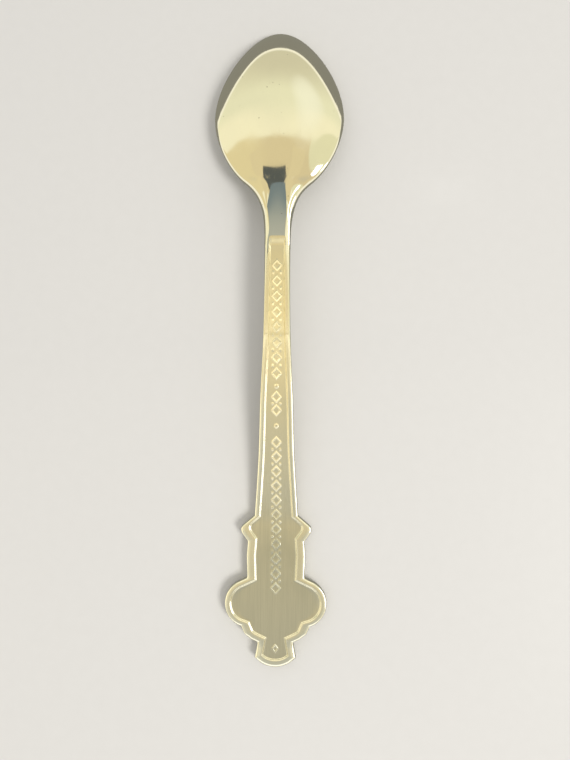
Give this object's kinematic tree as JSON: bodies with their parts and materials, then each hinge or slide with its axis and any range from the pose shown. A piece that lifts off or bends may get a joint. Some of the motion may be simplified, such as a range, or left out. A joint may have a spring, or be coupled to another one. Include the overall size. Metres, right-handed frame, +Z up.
{
  "type": "souvenir spoon",
  "caption": "Small silver-plated souvenir spoon lying face down: polished oval bowl, tapering stem with a sunk satin panel, lobed finial with an enamelled crest on its front.",
  "frame": {"origin": "the middle of the spoon's length and width, on the surface that it lies on, face down", "axes": "+Y along the spoon towards the tip of the bowl, +Z up, away from the surface, +X across"},
  "size_m": [0.023, 0.112, 0.0089],
  "materials": {
    "polished_silver": "mirror-polished warm silver plate with fine scratches",
    "satin_silver": "satin silver plate brushed along the stem, with polished raised edges",
    "solder": "dull grey solder",
    "gilt_metal": "polished gilt",
    "blue_enamel": "glossy vitreous enamel",
    "white_enamel": "glossy vitreous enamel",
    "green_enamel": "glossy vitreous enamel"
  },
  "bodies": {
    "root": {"bowl": "polished_silver", "handle": "satin_silver", "neck_solder": "solder", "crest_plate": "gilt_metal", "crest_solder": "solder", "enamel_sky": "blue_enamel", "enamel_peaks": "white_enamel", "enamel_meadow": "green_enamel"}
  },
  "joints": []
}
